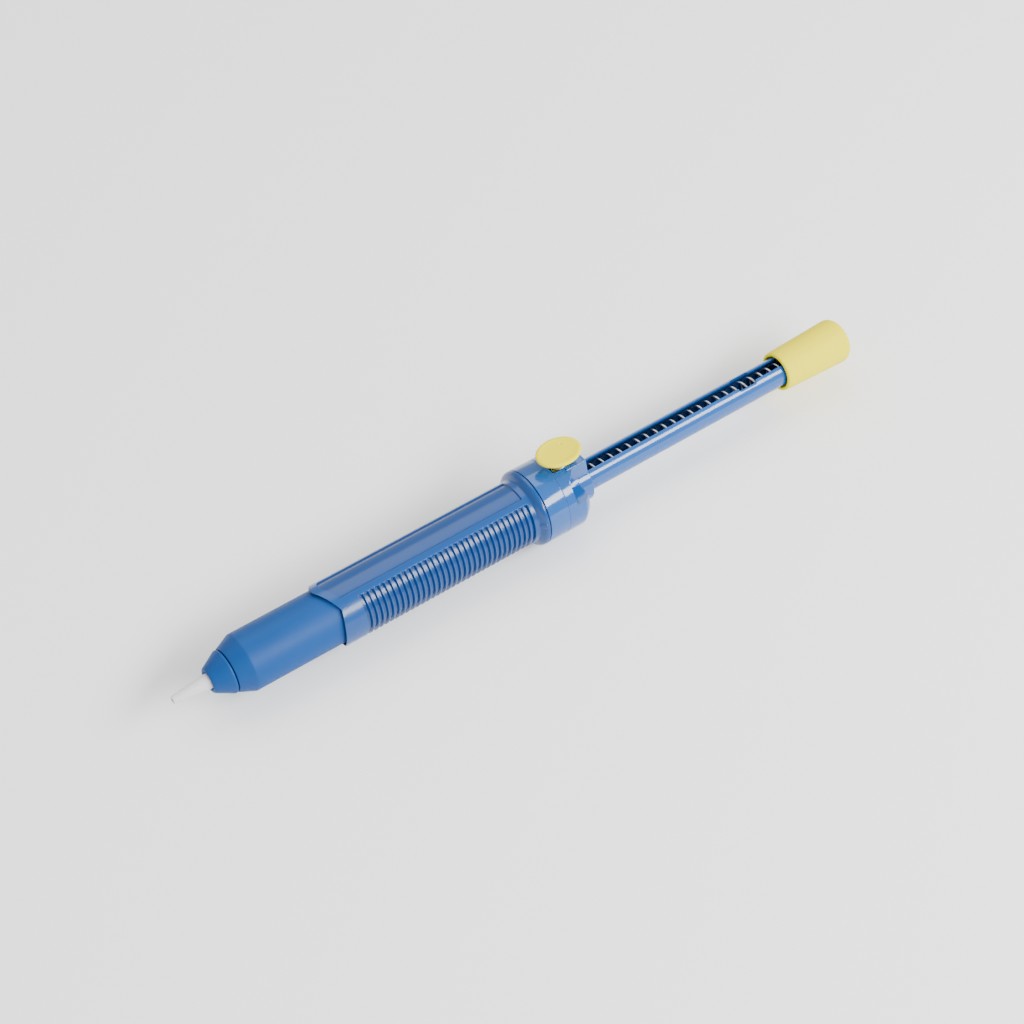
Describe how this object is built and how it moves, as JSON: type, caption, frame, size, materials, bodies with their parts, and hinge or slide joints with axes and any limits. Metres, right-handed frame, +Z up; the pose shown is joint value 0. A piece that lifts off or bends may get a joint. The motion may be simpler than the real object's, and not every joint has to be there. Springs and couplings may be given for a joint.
{
  "type": "desoldering pump",
  "caption": "Spring-driven desoldering pump: nozzle, ribbed barrel, thumb release button and a slotted loading plunger with a knob.",
  "frame": {"origin": "under the middle of the bounding box, on the plane that the collar's lowest line touches", "axes": "X along the pump's axis with the nozzle at -X and the loading knob at +X, +Z up through the release button"},
  "size_m": [0.2552, 0.0254, 0.0308],
  "materials": {
    "body_plastic": "satin moulded mid-blue plastic",
    "cap_plastic": "glossy moulded mid-blue plastic",
    "yellow_plastic": "satin lemon-yellow plastic",
    "nozzle_ptfe": "milky white PTFE",
    "white_nylon": "natural white nylon",
    "seal_rubber": "black nitrile rubber",
    "spring_steel": "bright drawn steel"
  },
  "bodies": {
    "housing": {"nozzle_tip": "nozzle_ptfe", "nozzle_cap": "body_plastic", "nozzle_seal": "seal_rubber", "barrel": "body_plastic", "grip_sleeve": "body_plastic", "rear_cap": "cap_plastic", "guide_bush": "white_nylon", "bumper_ring": "seal_rubber", "spring_anchor": "spring_steel", "spring_washer": "spring_steel", "main_spring": "spring_steel", "button_spring": "spring_steel"},
    "plunger": {"plunger_tube": "cap_plastic", "piston": "white_nylon", "piston_ring": "seal_rubber", "tube_plug": "white_nylon", "pin_screw": "spring_steel", "cleaning_pin": "spring_steel", "knob": "yellow_plastic", "spring_seat": "white_nylon"},
    "button": {"release_button": "yellow_plastic", "latch_bar": "spring_steel", "latch_screw": "spring_steel"}
  },
  "joints": [
    {"name": "plunger_slide", "type": "slide", "parent": "housing", "child": "plunger", "axis": [-1, 0, 0], "range_m": [0, 0.077], "stiffness_N_per_m": 180, "springref_m": -0.04, "deforming": ["main_spring"]},
    {"name": "button_press", "type": "slide", "parent": "housing", "child": "button", "axis": [0, 0, -1], "range_m": [0, 0.0022], "stiffness_N_per_m": 400, "springref_m": -0.002, "deforming": ["button_spring"]}
  ]
}
